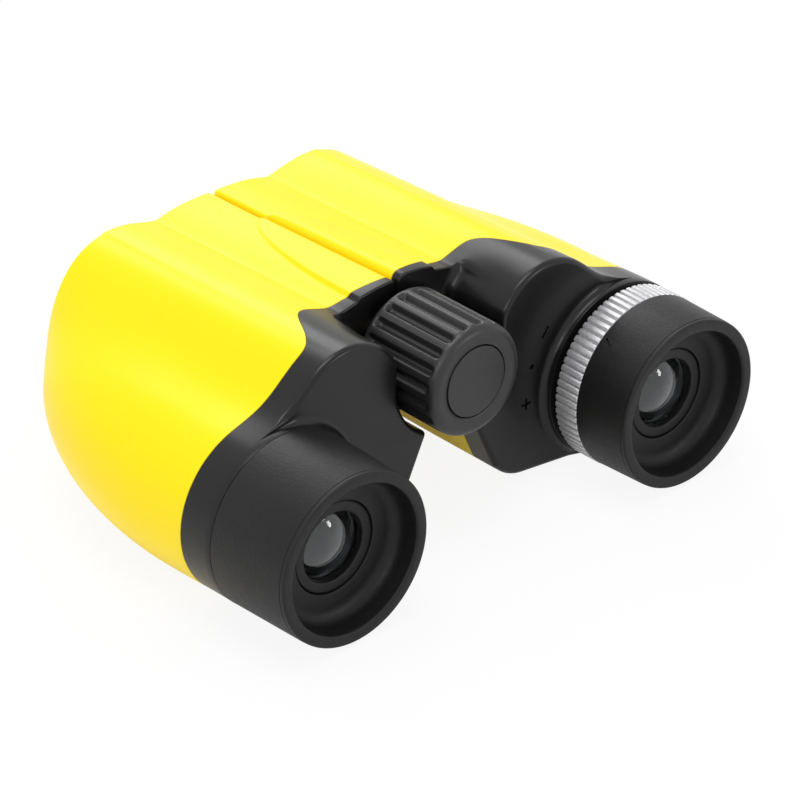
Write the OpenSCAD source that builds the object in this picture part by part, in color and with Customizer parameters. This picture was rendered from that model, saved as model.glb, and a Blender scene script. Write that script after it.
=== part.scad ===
// Compact toy binoculars: two offset halves on a centre hinge, a centre focus wheel and one
// adjustable eyepiece. Y runs from the eyes to the view, X to the user's right and Z up.
// Stations along Y count from the eyecup rims, and heights count from the eyepiece axes.

/* [Overall] */
// Length from the eyecup rims to the front rings
overall_l = 73.4; // [71:0.2:78]
// Height of the eyepiece axes above the table
rest_h = 14.65; // [14.6:0.05:15.2]
// Distance between the eyepiece axes
eye_spacing = 68.3; // [66:0.1:71]
// Height of the hinge axis above the eyepiece axes
hinge_h = 12; // [11.6:0.1:12.4]
// Gap along the seam between the halves
seam_gap = 0.6; // [0.4:0.1:0.9]
// Lean of each lower inner face from the vertical, in degrees
splay = 25; // [23:0.5:27]

/* [Body shells] */
// Distance of the objective axes from the hinge axis
objective_x = 20.1; // [19.6:0.1:20.8]
// Height of the objective axes above the eyepiece axes
objective_h = 8.8; // [8.4:0.1:9.2]
// Radius of the objective barrel at the front face
barrel_r = 11.9; // [11.8:0.1:12.6]
// Distance of the prism hump from the hinge axis at the rear face
hump_x = 20.3; // [19.8:0.1:20.8]
// Height of the prism hump's centre at the rear face
hump_h = 12; // [11.6:0.1:12.4]
// Radius of the prism hump at the rear face
hump_r = 10.8; // [10.4:0.1:11.2]
// Radius of the swelling round the eyepiece axis at the rear face
swell_r = 14.4; // [14.2:0.1:14.5]
// How far the swelling sinks on its way to the belly
belly_drop = 0.5; // [0.3:0.05:0.7]
// Depth of the flat foot cut under each belly
foot_depth = 0.25; // [0.2:0.05:0.4]
// Length of the nose over which the swelling draws in to the front face
nose_l = 41; // [38:0.5:44]
// Radius of the swelling at the front face
nose_r = 5.7; // [5:0.1:7]
// Distance of the swelling's centre from the hinge axis at the front face
nose_x = 22; // [21:0.1:24]
// Height of the swelling's centre at the front face
nose_h = 3.8; // [3:0.1:4.5]
// Radius of the keel between the lower inner face and the base
keel_r = 8; // [7:0.1:8.6]
// Rise of the base from the swelling to the keel
keel_rise = 1.8; // [1.2:0.1:2.4]
// Radius of the keel at the front face
keel_nose_r = 7.6; // [7:0.1:8]
// Height of the keel's centre at the front face
keel_nose_h = 2.1; // [1.5:0.1:3]
// Height of the valley beside the hinge at the rear
deck_rear_h = 20.6; // [20.2:0.1:21]
// Height of the valley beside the hinge at the front
deck_front_h = 19.4; // [19:0.1:19.8]
// Height of the ridge over the hinge at the rear
ridge_rear_h = 21.8; // [21.5:0.1:22.1]
// Height of the ridge over the hinge at the front
ridge_front_h = 20.8; // [20.5:0.1:21.2]
// Half width of the ridge over the hinge
ridge_w = 11.5; // [11:0.1:12]
// Width over which the hump blends into the swelling
valley_blend = 7.7; // [6:0.1:9]
// Width over which the hump blends into the ridge
deck_blend = 3; // [2:0.1:4]
// Half width of the raised leaf over the hinge
leaf_w = 7.1; // [6.5:0.1:7.6]
// Length of the raised leaf
leaf_l = 28.7; // [26:0.1:31]
// Height of the leaf's edge at the rear
leaf_rear_t = 1; // [0.8:0.05:1.1]
// Height of the leaf's edge at its tip
leaf_tip_t = 0.5; // [0.3:0.1:0.8]
// Width of the leaf's sloping edge
leaf_edge = 0.7; // [0.6:0.05:0.9]
// Wall of the shells and housings
wall = 1.6; // [1.4:0.05:1.65]
// Thickness of the front wall
front_wall = 2.2; // [1.8:0.1:2.8]
// Rounding of the front edge
front_edge = 1.2; // [0.8:0.1:1.5]
// Height of the rib that carries the prism shelf
rib_t = 1.2; // [0.9:0.1:1.4]
// Length of that rib
rib_l = 1.6; // [1.2:0.1:2]

/* [Rear housings] */
// Length of the black rim round the swelling
rim_l = 5.3; // [5:0.1:6]
// Rounding of the rear edge
rim_edge = 1.2; // [0.8:0.1:1.5]
// Thickness of the rear wall
floor_t = 2; // [1.6:0.1:2.2]
// Open line between housing and shell
part_gap = 0.1; // [0.05:0.01:0.2]
// Length of the lip that locates the shell
lip_l = 1.6; // [1.2:0.1:1.8]
// Thickness of that lip
lip_t = 1; // [0.8:0.1:1.1]
// Distance from the hinge axis at which the parting line starts to swing forward
swing_x = 23.7; // [23:0.1:24.5]
// Width over which the parting line swings forward
swing_w = 6; // [5:0.1:7]
// Depth below the eyepiece axes at which the parting line has swung back
swing_low = 3; // [2:0.1:4]
// Height over which it swings back
swing_rise = 7; // [6:0.1:8]
// Thickness of the lugs between focus wheel and shells
lug_t = 2.4; // [2:0.1:2.8]
// Radius of the bay round the focus wheel
bay_r = 10.5; // [10.2:0.1:10.8]

/* [Eyepieces] */
// Length of an eyecup with the ring behind it
cup_l = 14.6; // [14:0.1:15.5]
// Radius of an eyecup at its rim
cup_rim_r = 14; // [13.6:0.1:14.2]
// Radius of an eyecup at its front end
cup_end_r = 14.4; // [14.2:0.05:14.5]
// Radius of the eyecup's mouth
mouth_r = 12; // [11.6:0.1:12.3]
// Depth of the eyecup's mouth
mouth_l = 4.7; // [4.2:0.1:5]
// Thickness of the eyecup's floor
cup_floor_t = 1.3; // [1:0.1:1.5]
// Rounding of the eyecup's rim
cup_edge = 0.8; // [0.5:0.1:0.9]
// Gap between the dioptre ring and the collar in front of it
cup_gap = 1; // [0.8:0.1:1.2]
// Open line between the fixed eyecup and the collar in front of it
cup_line = 0.3; // [0.2:0.05:0.5]
// Length of the collar on the rear housing
collar_l = 1.4; // [1.2:0.1:2]
// Radius of that collar
collar_r = 14.25; // [14.1:0.05:14.3]
// Radius of the sleeve that carries the eyecup
sleeve_r = 11.2; // [10.8:0.1:11.4]
// Radius of the sleeve's bore
sleeve_bore_r = 8.8; // [8.6:0.1:9]
// Gap between the sleeve's end and the eyecup's floor
sleeve_gap = 0.8; // [0.6:0.1:1]
// Length of the knurled dioptre ring
ring_l = 4.6; // [4:0.1:5.2]
// Radius of the dioptre ring
ring_r = 14.35; // [14:0.05:14.5]
// Depth of its knurl
knurl_depth = 0.35; // [0.2:0.05:0.5]
// Number of knurl teeth
knurl_count = 72; // [48:4:96]
// Radius of the lens tube's rear spigot
spigot_r = 7.4; // [7:0.1:7.6]
// Radius of the opening in front of the eye lens
eye_r = 5.65; // [5.2:0.05:6]
// Radius of the eyepiece lenses
eye_lens_r = 6.6; // [6.2:0.1:6.7]
// Setback of the spigot's end behind the eyecup's floor
spigot_set = 0.2; // [0.1:0.1:0.4]
// Length of the lens tube in front of the eyecup's floor
tube_l = 14.3; // [13.5:0.1:15]
// Thickness of the lip that holds the eye lens
tube_lip = 1; // [0.8:0.1:1.2]
// Edge thickness of the eye lens
eye_lens_t = 2.4; // [2:0.1:2.8]
// Radius of the eye lens's curved faces
eye_lens_curve = 22; // [18:0.5:26]
// Length of the spacer between the lenses
spacer_l = 5; // [4.5:0.1:5.3]
// Edge thickness of the field lens
field_lens_t = 2; // [1.6:0.1:2.2]
// Radius of the field lens's curved face
field_lens_curve = 20; // [16:0.5:26]
// Length of the ring that retains the lenses
retainer_l = 1.6; // [1.2:0.1:1.8]
// Wall of the spacer and the retainer
spacer_t = 0.9; // [0.7:0.1:1.1]

/* [Hinge] */
// Radius of the hinge knuckles
knuckle_r = 6.6; // [6.2:0.1:6.7]
// Length of each knuckle
knuckle_l = 7; // [6.6:0.1:7.2]
// Distance of the first knuckle from the lugs
knuckle_set = 1.6; // [1.2:0.1:2]
// Gap between turning pieces
turn_gap = 0.3; // [0.25:0.05:0.4]
// Clearance of a shaft in its bore
shaft_gap = 0.08; // [0.05:0.01:0.1]
// Radius of the hollow hinge shaft
shaft_r = 3.5; // [3.3:0.1:3.8]
// Radius of the front hinge pin
pin_r = 2.5; // [2.2:0.1:2.8]
// Radius of the pin's head
pin_head_r = 4; // [3.6:0.1:4.4]
// Thickness of the pin's head
pin_head_t = 1.2; // [1:0.1:1.5]
// Radius of the clip on the hinge shaft
clip_r = 5; // [4.6:0.1:5.4]
// Thickness of the clips on the shaft and the focus nut
clip_t = 1; // [0.8:0.1:1.1]

/* [Focus] */
// Radius of the focus wheel
knob_r = 9.15; // [8.8:0.05:9.4]
// Length of the focus wheel
knob_l = 16.4; // [15.6:0.1:16.8]
// How far the wheel stands behind the rear face
knob_out = 5.8; // [5.4:0.1:6.4]
// Gap between the wheel and the lugs
knob_gap = 0.8; // [0.5:0.1:1]
// Rounding of the wheel's rear edge
knob_edge = 2; // [1.5:0.1:2.4]
// Chamfer of the wheel's front edge
knob_chamfer = 0.5; // [0.3:0.1:0.8]
// Number of flutes
flute_count = 20; // [16:1:24]
// Radius of a flute
flute_r = 1.3; // [1.1:0.1:1.4]
// Depth of a flute
flute_depth = 0.7; // [0.5:0.1:0.8]
// Plain band behind the flutes
flute_set = 3; // [2.6:0.1:3.6]
// Plain rim in front of the flutes
flute_rim = 1.2; // [0.8:0.1:1.6]
// Radius of the cap in the wheel
cap_r = 5.9; // [5.6:0.1:6.2]
// Thickness of that cap
cap_t = 1.2; // [1:0.1:1.5]
// Radius of the focus screw
screw_r = 1.95; // [1.8:0.05:2.1]
// Length of the screw inside the wheel
screw_grip = 9; // [8:0.5:11]
// Travel of the objective cells each way
focus_travel = 1.6; // [1.2:0.1:1.7]
// Radius of the focus nut's hub
nut_r = 4.6; // [4.4:0.1:4.8]
// Radius of the arm rings round the focus nut
arm_r = 6.4; // [6.2:0.1:6.5]
// Thickness of the focus arms
arm_t = 1.8; // [1.6:0.1:1.9]
// Height of the focus arms
arm_h = 4.4; // [4:0.1:4.8]
// Clearance round a focus arm in its slot
slot_gap = 0.4; // [0.3:0.1:0.6]

/* [Objectives] */
// Radius of the guide tube
guide_r = 10; // [9.8:0.1:10.1]
// Wall of the guide tube
guide_t = 0.6; // [0.5:0.05:0.65]
// Length of the guide tube
guide_l = 14.8; // [14:0.1:15]
// Length of an objective cell's barrel
cell_l = 12.6; // [12:0.1:12.8]
// Wall of an objective cell
cell_t = 0.6; // [0.5:0.05:0.65]
// Height of the seat inside a cell
cell_seat = 0.6; // [0.5:0.1:0.8]
// Edge thickness of an objective lens
lens_t = 3; // [2.6:0.1:3.4]
// Radius of an objective lens's curved faces
lens_curve = 30; // [26:1:40]
// Length of the ring that retains an objective lens
lens_ring_l = 1.6; // [1.2:0.1:2]
// Radius of the front ring's flange
bezel_r = 10.6; // [10.4:0.1:10.7]
// Thickness of that flange
bezel_t = 0.6; // [0.5:0.1:0.8]
// Length of the front ring's spigot
bezel_l = 3.2; // [2.6:0.1:3.4]
// Wall of the front ring's spigot
bezel_wall = 0.8; // [0.6:0.1:1]

/* [Prisms] */
// Thickness of the prism shelf
shelf_t = 1.6; // [1.4:0.1:1.8]
// Gap between the shelf and the housing's lip
shelf_gap = 0.2; // [0.1:0.05:0.3]
// Width of the prisms
prism_w = 11; // [10:0.1:11.4]
// Half of a prism's long face as a share of the step between the light paths
prism_share = 0.93; // [0.88:0.01:0.95]
// Radius of the light holes in the shelf
light_r = 5.2; // [4.8:0.1:5.4]
// Width of a prism clip
strap_w = 4; // [3:0.1:5]
// Thickness of a prism clip
strap_t = 0.5; // [0.4:0.05:0.6]
// Length of a prism clip's feet
strap_foot = 1.5; // [1.2:0.1:1.8]
// Radius of the screw bosses
boss_r = 2; // [1.8:0.1:2.2]
// Length of the screw bosses in front of the shelf
boss_l = 6; // [5:0.1:7]
// Radius of the shelf screws
shelf_screw_r = 0.9; // [0.8:0.05:1]
// Radius of their heads
screw_head_r = 1.7; // [1.5:0.1:1.9]
// Thickness of their heads
screw_head_t = 1.1; // [0.9:0.1:1.3]
// Length of the screws under the head
shelf_screw_l = 5.5; // [4.5:0.1:6]

/* [Hidden] */
$fn = 48;
// Facets of the lens faces
lens_fn = 240;
// Overrun of every cut
over = 0.5;
// Open line between pieces that are pushed or screwed together
fit_gap = 0.15;
// Slope of the parting line beside the hinge
rake_share = 0.1;
// How much flatter the leaf is at its edge
crown_share = 0.35;
// Share of its radius by which a screw boss stands off the wall
boss_share = 0.6;
// Bearings of the screw bosses round the section's core
boss_bearings = [25, 194];
// Points round a body section, and those of them that are evenly spaced
even_count = 66;
section_count = even_count + 5;
// Rings along the outside of a shell and along its cavity
shell_rings = 10;
cavity_rings = 6;
// Step of the rings round an edge, in degrees
edge_step = 30;
// Halvings with which a section's outline is found
halvings = 18;

yellow = "#ffdd00";
black = "#1c1c1e";
rubber = "#232325";
silver = "#b8babc";
steel = "#8d9094";
brass = "#b08d4a";
glass = "#bcd6de";

eye_x = eye_spacing / 2;
eye_at = [eye_x, 0];
hinge_at = [0, hinge_h];
objective_at = [objective_x, objective_h];
core = objective_at - [0, objective_h / 2];

// Stations from the eyecup rims forward
collar_y = cup_l + cup_gap;
rear_y = collar_y + collar_l;
front_y = overall_l - bezel_t;
part_y = rear_y + rim_l;
knob_y = rear_y - knob_out;
knob_end = knob_y + knob_l;
bay_y = knob_end + knob_gap;
lug_y = bay_y + lug_t;
nose_y = front_y - nose_l;
cup_floor_y = mouth_l + cup_floor_t;
sleeve_y = cup_floor_y + sleeve_gap;
tube_y = mouth_l + spigot_set;
tube_end = cup_floor_y + tube_l;
eye_lens_y = tube_y + tube_lip;
spacer_y = eye_lens_y + eye_lens_t;
field_lens_y = spacer_y + spacer_l;
retainer_y = field_lens_y + field_lens_t;
shelf_y = lug_y + rake_share * ridge_w + lip_l + shelf_gap;
shelf_end = shelf_y + shelf_t;
rib_end = shelf_end + rib_l;
cavity_end = front_y - front_wall;

// Hinge: rear pair of knuckles, room for the focus nut, front pair of knuckles
left_knuckle_y = lug_y + knuckle_set;
right_knuckle_y = left_knuckle_y + knuckle_l + turn_gap;
nut_room_y = right_knuckle_y + knuckle_l;
right_front_y = front_y - knuckle_l;
left_front_y = right_front_y - turn_gap - knuckle_l;
zone_r = knuckle_r + slot_gap;
shaft_y = bay_y + turn_gap;
shaft_end = nut_room_y + turn_gap + clip_t;
shaft_bore_r = screw_r + shaft_gap;

// Focus: nut with the left arm, right arm behind its clip, cells on the arms
nut_l = 2 * arm_t + clip_t + 3 * turn_gap;
nut_y = (shaft_end + left_front_y - nut_l) / 2;
right_arm_y = nut_y + arm_t + turn_gap;
nut_clip_y = right_arm_y + arm_t + turn_gap;
cell_y = right_arm_y + arm_t + turn_gap;
cell_r = guide_r - guide_t - shaft_gap;
cell_bore_r = cell_r - cell_t;
cell_neck_r = cell_r - cell_t;
lens_r = cell_bore_r;
lens_ring_y = cell_y + cell_l - lens_ring_l;
lens_y = lens_ring_y - lens_t;
screw_y = knob_y + knob_l - screw_grip;
screw_end = left_front_y - turn_gap;

// Light path: objective axis, fold between the prisms, eyepiece axis
path_step = eye_at - objective_at;
fold_at = (objective_at + eye_at) / 2 + [path_step[1], -path_step[0]] / 2;
prism_half = norm(fold_at - objective_at) * prism_share;

function mix(a, b, t) = a + (b - a) * t;
function clamp(t) = min(max(t, 0), 1);
function ease(t) = let (u = clamp(t)) u * u * (3 - 2 * u);

// Two distances joined with a soft crease of the given width
function merge(a, b, width) =
    let (u = max(width - abs(a - b), 0) / width)
    min(a, b) - u * u * width / 4;

// Distance of a point outside the hull of two circles
function past_pair(p, a, ra, b, rb) =
    let (d = b - a, h = d * d, v = p - a,
         across = abs(v[0] * d[1] - v[1] * d[0]) / h, up = v * d / h,
         drop = ra - rb, lean = sqrt(h - drop * drop),
         k = lean * up - drop * across)
    k < 0 ? norm(v) - ra
    : k > lean ? norm(p - b) - rb
    : lean * across + drop * up - ra;

// Share of the way from the rear face to the front face
function along(y) = (y - rear_y) / (front_y - rear_y);
// Share by which the belly has formed, and by which the nose has drawn in
function belly_in(y) = ease((y - rear_y) / (nose_y - rear_y));
function nose_in(y) = let (u = clamp((y - nose_y) / nose_l)) 1 - sqrt(1 - u * u);

function hump_at(y) = mix([hump_x, hump_h], objective_at, along(y));
function hump_r_at(y) = mix(hump_r, barrel_r, along(y));
function swell_at(y) = mix(eye_at - [0, belly_drop * belly_in(y)], [nose_x, nose_h], nose_in(y));
function swell_r_at(y) =
    let (belly_r = rest_h + foot_depth - belly_drop)
    mix(mix(swell_r, belly_r, belly_in(y)), nose_r, nose_in(y));
function keel_r_at(y) = mix(keel_r, keel_nose_r, nose_in(y));
function keel_at(y) =
    let (h = mix(keel_r - swell_r + keel_rise, keel_nose_h, nose_in(y)))
    [(keel_r_at(y) - sin(splay) * (h - hinge_h)) / cos(splay), h];

// Half width of the leaf at a station, its height over the ridge, and the top of the deck
function leaf_half(y) = let (u = max(y - lug_y, 0) / leaf_l) leaf_w * sqrt(max(1 - u * u, 0));
function leaf_at(x, y) =
    let (w = leaf_half(y), edge = mix(leaf_rear_t, leaf_tip_t, clamp((y - lug_y) / leaf_l)))
    w <= 0 ? 0 : edge * (1 - crown_share * pow(min(x / w, 1), 2)) * clamp((w + leaf_edge - x) / leaf_edge);
function deck_at(x, y) =
    let (low = mix(deck_rear_h, deck_front_h, along(y)), high = mix(ridge_rear_h, ridge_front_h, along(y)))
    low + (high - low) * max(1 - pow(abs(x) / ridge_w, 3), 0) + leaf_at(x, y);

// Distance of a point outside the right half's section at a station
function past_body(p, y) =
    let (c = hump_at(y), k = keel_at(y),
         hump = norm(p - c) - hump_r_at(y),
         belly = past_pair(p, k, keel_r_at(y), swell_at(y), swell_r_at(y)),
         below = sin(splay) * (p[0] - k[0]) - cos(splay) * (p[1] - k[1]),
         deck = max(p[1] - deck_at(p[0], y), below, p[0] - c[0]))
    max(merge(merge(hump, belly, valley_blend), deck, deck_blend),
        seam_gap / 2 - p[0],
        -cos(splay) * p[0] - sin(splay) * (p[1] - hinge_h));

// Distance from the core to the outline along a bearing, a skin's depth inside the section and
// no nearer to the hinge than inner_x
function reach(y, a, skin, inner_x, near = 0, far = eye_spacing, n = halvings) =
    let (r = (near + far) / 2, p = core + r * [cos(a), sin(a)])
    n <= 0 ? r
    : max(past_body(p, y), inner_x - p[0]) + skin < 0 ? reach(y, a, skin, inner_x, r, far, n - 1)
    : reach(y, a, skin, inner_x, near, r, n - 1);

// Bearings of the section's points: down the seam, evenly round to the valley, then over the leaf
function toward(p) = atan2(p[1] - core[1], p[0] - core[0]);
function deck_bearing(x, y) = toward([x, deck_at(x, y)]);
function leaf_mark(k, y) = let (w = max(leaf_half(y), 2 * leaf_edge)) [w + leaf_edge, w, w / 2][k];
axis_bearing = toward([seam_gap / 2, hinge_h]);
function bearing(i, y) =
    i < 2 ? mix(deck_bearing(seam_gap / 2, y), axis_bearing, i / 2)
    : i < even_count + 2 ? mix(axis_bearing, deck_bearing(ridge_w, y) + 360, (i - 2) / (even_count - 1))
    : deck_bearing(leaf_mark(i - even_count - 2, y), y) + 360;

// One ring of body points, each at its own station, with the section taken a little ahead of it
function ring(stations, skin = 0, inner_x = 0, ahead = 0) =
    [for (i = [0:section_count - 1])
        let (y = min(stations[i] + ahead, front_y), a = bearing(i, y), r = reach(y, a, skin, inner_x))
        [core[0] + r * cos(a), stations[i], core[1] + r * sin(a)]];
function level(y) = [for (i = [0:section_count - 1]) y];
function shifted(stations, step) = [for (y = stations) y + step];
function partway(stations, y, t) = [for (s = stations) mix(s, y, t)];

// Parting line between housing and shell: level round the swelling, further forward at the wheel
function part_at(p) =
    part_y + (lug_y - part_y + rake_share * min(p[0], ridge_w))
    * ease((swing_x - p[0]) / swing_w) * ease((p[2] + swing_low) / swing_rise);
parting = [for (p = ring(level(lug_y))) part_at(p)];

// Closed skin through rings of points, with a flat cap round the core on the first and last ring
module lofted(rings, forward) {
    n = len(rings[0]);
    last = (len(rings) - 1) * n;
    first_hub = last + n;
    last_hub = first_hub + 1;
    hubs = [for (r = [rings[0], rings[len(rings) - 1]]) [core[0], r[0][1], core[1]]];
    caps = [for (i = [0:n - 1])
        let (k = (i + 1) % n)
        each [[first_hub, i, k], [last_hub, last + k, last + i]]];
    sides = [for (j = [0:len(rings) - 2], i = [0:n - 1])
        let (a = j * n + i, b = j * n + (i + 1) % n)
        each [[a, a + n, b], [b, a + n, b + n]]];
    faces = concat(caps, sides);
    polyhedron(
        points = concat([for (r = rings) each r], hubs),
        faces = forward ? [for (f = faces) [f[2], f[1], f[0]]] : faces
    );
}

// Places a half on the table, the right one as drawn and the left one mirrored
module half(s) {
    translate([0, -overall_l / 2, rest_h])
        if (s < 0)
            mirror([1, 0, 0]) children();
        else
            children();
}

module rod(at, r, y0, y1) {
    translate([at[0], y0, at[1]]) rotate([-90, 0, 0]) cylinder(h = y1 - y0, r = r);
}

module tube(at, r, bore, y0, y1) {
    difference() {
        rod(at, r, y0, y1);
        rod(at, bore, y0 - over, y1 + over);
    }
}

// Turns a profile of radius and station about an axis along Y
module turned(at) {
    translate([at[0], 0, at[1]]) rotate([-90, 0, 0]) rotate_extrude() children();
}

// Turning profile of a band whose outer rear corner is rounded
module band(r0, r1, y0, y1, edge) {
    translate([r0, y0 + edge]) square([r1 - r0, y1 - y0 - edge]);
    translate([r0, y0]) square([r1 - r0 - edge, edge]);
    translate([r1 - edge, y0 + edge]) circle(edge);
}

// Lens with a rim from y0 to y1 and rounded faces, flat where a curve is zero
module lens(at, r, y0, y1, rear_curve, front_curve) {
    rear_rise = rear_curve > 0 ? rear_curve - sqrt(rear_curve * rear_curve - r * r) : 0;
    front_rise = front_curve > 0 ? front_curve - sqrt(front_curve * front_curve - r * r) : 0;
    intersection() {
        rod(at, r, y0 - rear_rise - over, y1 + front_rise + over);
        if (rear_curve > 0)
            translate([at[0], y0 - rear_rise + rear_curve, at[1]]) sphere(rear_curve, $fn = lens_fn);
        else
            rod(at, r + over, y0, y1 + front_rise + over);
        if (front_curve > 0)
            translate([at[0], y1 + front_rise - front_curve, at[1]]) sphere(front_curve, $fn = lens_fn);
        else
            rod(at, r + over, y0 - rear_rise - over, y1);
    }
}

// Turns a shape drawn in X and Y so that X runs from one point of the section to another
module between(a, b, y) {
    middle = (a + b) / 2;
    lean = atan2(b[1] - a[1], b[0] - a[0]);
    translate([middle[0], y, middle[1]]) rotate([0, -lean, 0]) children();
}

function boss_at(k) =
    core + reach(shelf_end, boss_bearings[k], wall + boss_share * boss_r, zone_r)
    * [cos(boss_bearings[k]), sin(boss_bearings[k])];

// Hollow yellow half with its hinge knuckles, shelf rib and screw bosses
module body_shell(s) {
    own = s < 0 ? [left_knuckle_y, left_front_y] : [right_knuckle_y, right_front_y];
    rooms = s < 0
        ? [[left_knuckle_y + knuckle_l, left_front_y], [left_front_y + knuckle_l, front_y + over]]
        : [[part_y, right_knuckle_y], [right_knuckle_y + knuckle_l, right_front_y]];
    arm_y = s < 0 ? nut_y : right_arm_y;
    slot_l = arm_t + 2 * (focus_travel + slot_gap);
    color(yellow) half(s) difference() {
        union() {
            difference() {
                lofted(concat(
                    [for (t = [90:-edge_step:0])
                        ring(level(front_y - front_edge * (1 - sin(t))), front_edge * (1 - cos(t)))],
                    [for (j = [shell_rings - 1:-1:0])
                        ring(partway(parting, front_y - front_edge, sin(90 * j / shell_rings)))],
                    [ring(parting, wall, zone_r, front_wall)],
                    [ring(level(shelf_end), wall, zone_r, front_wall)],
                    [ring(level(shelf_end), wall + rib_t, zone_r, front_wall)],
                    [ring(level(rib_end), wall + rib_t, zone_r, front_wall)],
                    [for (j = [0:cavity_rings])
                        ring(level(mix(rib_end, cavity_end, sin(90 * j / cavity_rings))),
                            wall, zone_r, front_wall)]
                ), false);
                for (room = rooms)
                    rod(hinge_at, zone_r, room[0], room[1]);
                translate([0, arm_y - focus_travel - slot_gap, objective_h - arm_h / 2 - slot_gap])
                    cube([zone_r + 2 * wall, slot_l, arm_h + 2 * slot_gap]);
            }
            for (y = own)
                rod(hinge_at, knuckle_r, y, y + knuckle_l);
            for (k = [0, 1])
                rod(boss_at(k), boss_r, shelf_end, shelf_end + boss_l);
        }
        rod(hinge_at, shaft_r + (s < 0 ? 0 : shaft_gap), part_y, left_front_y - over);
        rod(hinge_at, pin_r + (s < 0 ? 0 : shaft_gap), left_front_y - over, front_y + over);
        rod(hinge_at, pin_head_r + shaft_gap, front_y - pin_head_t, front_y + over);
        rod(objective_at, guide_r, cavity_end - over, front_y + over);
        for (k = [0, 1]) {
            rod(boss_at(k), shelf_screw_r, shelf_end - over, shelf_end + boss_l + over);
            rod(boss_at(k), screw_head_r + fit_gap, shelf_y - screw_head_t - fit_gap, shelf_y);
        }
        translate([0, 0, -rest_h - eye_spacing])
            cube([eye_spacing, overall_l, eye_spacing]);
    }
}

// Black rear housing with the wheel's bay, the lug at the hinge, the collar and the eyepiece sleeve
module rear_housing(s) {
    lip_skin = wall + fit_gap;
    inner_skin = lip_skin + lip_t;
    color(black) half(s) difference() {
        union() {
            lofted(concat(
                [for (t = [90:-edge_step:0])
                    ring(level(rear_y + rim_edge * (1 - sin(t))), rim_edge * (1 - cos(t)))],
                [ring(shifted(parting, -part_gap))],
                [ring(shifted(parting, -part_gap), lip_skin, zone_r)],
                [ring(shifted(parting, lip_l), lip_skin, zone_r)],
                [ring(shifted(parting, lip_l), inner_skin, zone_r)],
                [ring(shifted(parting, -lip_t), inner_skin, zone_r)],
                [ring(shifted(parting, -2 * lip_t), inner_skin, bay_r)],
                [ring(level(rear_y + floor_t), inner_skin, bay_r)]
            ), true);
            turned(eye_at) band(sleeve_bore_r, collar_r, collar_y, rear_y + floor_t, collar_l / 2);
            rod(eye_at, sleeve_r, sleeve_y, rear_y + floor_t);
        }
        rod(eye_at, sleeve_bore_r, sleeve_y - over, rear_y + floor_t + over);
        rod(hinge_at, bay_r, rear_y - over, bay_y);
        difference() {
            translate([0, rear_y - over, hinge_h])
                cube([hump_x, bay_y - rear_y + over, eye_spacing]);
            rod(hump_at(bay_y), hump_r_at(bay_y), rear_y - 2 * over, bay_y + over);
        }
        rod(hinge_at, shaft_r + slot_gap, rear_y, part_y + eye_spacing);
    }
}

// Rubber eyecup on its sleeve: the right one is shorter by the dioptre ring and turns
module eyecup(s) {
    end = s < 0 ? collar_y - cup_line : cup_l - ring_l;
    skirt_bore = sleeve_r + (s < 0 ? 0 : shaft_gap);
    end_r = mix(cup_rim_r, cup_end_r, end / cup_l);
    color(rubber) half(s) difference() {
        turned(eye_at) {
            polygon([[0, cup_edge], [cup_rim_r, cup_edge], [end_r, end], [0, end]]);
            band(0, cup_rim_r, 0, 2 * cup_edge, cup_edge);
        }
        rod(eye_at, mouth_r, -over, mouth_l);
        rod(eye_at, spigot_r + shaft_gap, 0, end);
        rod(eye_at, skirt_bore, cup_floor_y, end + over);
    }
}

// Knurled ring that turns the right eyecup
module diopter_ring() {
    teeth = [for (i = [0:2 * knurl_count - 1])
        (ring_r - (i % 2) * knurl_depth) * [cos(180 * i / knurl_count), sin(180 * i / knurl_count)]];
    color(silver) half(1) difference() {
        translate([eye_x, cup_l - ring_l, 0]) rotate([-90, 0, 0]) linear_extrude(ring_l) polygon(teeth);
        rod(eye_at, sleeve_r + shaft_gap, cup_l - ring_l - over, cup_l + over);
    }
}

// Tube that holds the eyepiece lenses and shows as the bezel in the eyecup
module lens_tube(s) {
    color(black) half(s) difference() {
        union() {
            rod(eye_at, spigot_r, tube_y, tube_end);
            rod(eye_at, sleeve_bore_r - shaft_gap, sleeve_y, tube_end);
        }
        rod(eye_at, eye_r, 0, tube_end);
        rod(eye_at, eye_lens_r, eye_lens_y, tube_end + over);
    }
}

module eye_lens(s) {
    color(glass) half(s) difference() {
        lens(eye_at, eye_lens_r, eye_lens_y, spacer_y, eye_lens_curve, 0);
        tube(eye_at, eye_lens_r + over, eye_r - fit_gap, tube_y - eye_lens_t, eye_lens_y);
    }
}

module lens_spacer(s) {
    color(black) half(s) tube(eye_at, eye_lens_r, eye_lens_r - spacer_t, spacer_y, field_lens_y);
}

module field_lens(s) {
    color(glass) half(s) lens(eye_at, eye_lens_r, field_lens_y, retainer_y, 0, field_lens_curve);
}

module lens_retainer(s) {
    color(black) half(s) difference() {
        tube(eye_at, eye_lens_r, eye_lens_r - spacer_t, retainer_y, retainer_y + retainer_l);
        lens(eye_at, eye_lens_r + fit_gap, field_lens_y, retainer_y, 0, field_lens_curve);
    }
}

// Plate across the shell that both prisms sit on, with a hole for each light path
module prism_shelf(s) {
    outline = [for (p = ring(level(shelf_y), wall + fit_gap, zone_r, front_wall)) [p[0], p[2]]];
    color(black) half(s) difference() {
        translate([0, shelf_end, 0]) rotate([90, 0, 0]) linear_extrude(shelf_t) polygon(outline);
        for (at = [objective_at, fold_at, eye_at])
            rod(at, light_r, shelf_y - over, shelf_end + over);
        for (k = [0, 1])
            rod(boss_at(k), shelf_screw_r, shelf_y - over, shelf_end + over);
    }
}

// Right-angle prism with its long face on the shelf
module prism(toward_front) {
    linear_extrude(prism_w, center = true)
        polygon([[-prism_half, 0], [prism_half, 0], [0, toward_front * prism_half]]);
}

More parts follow.
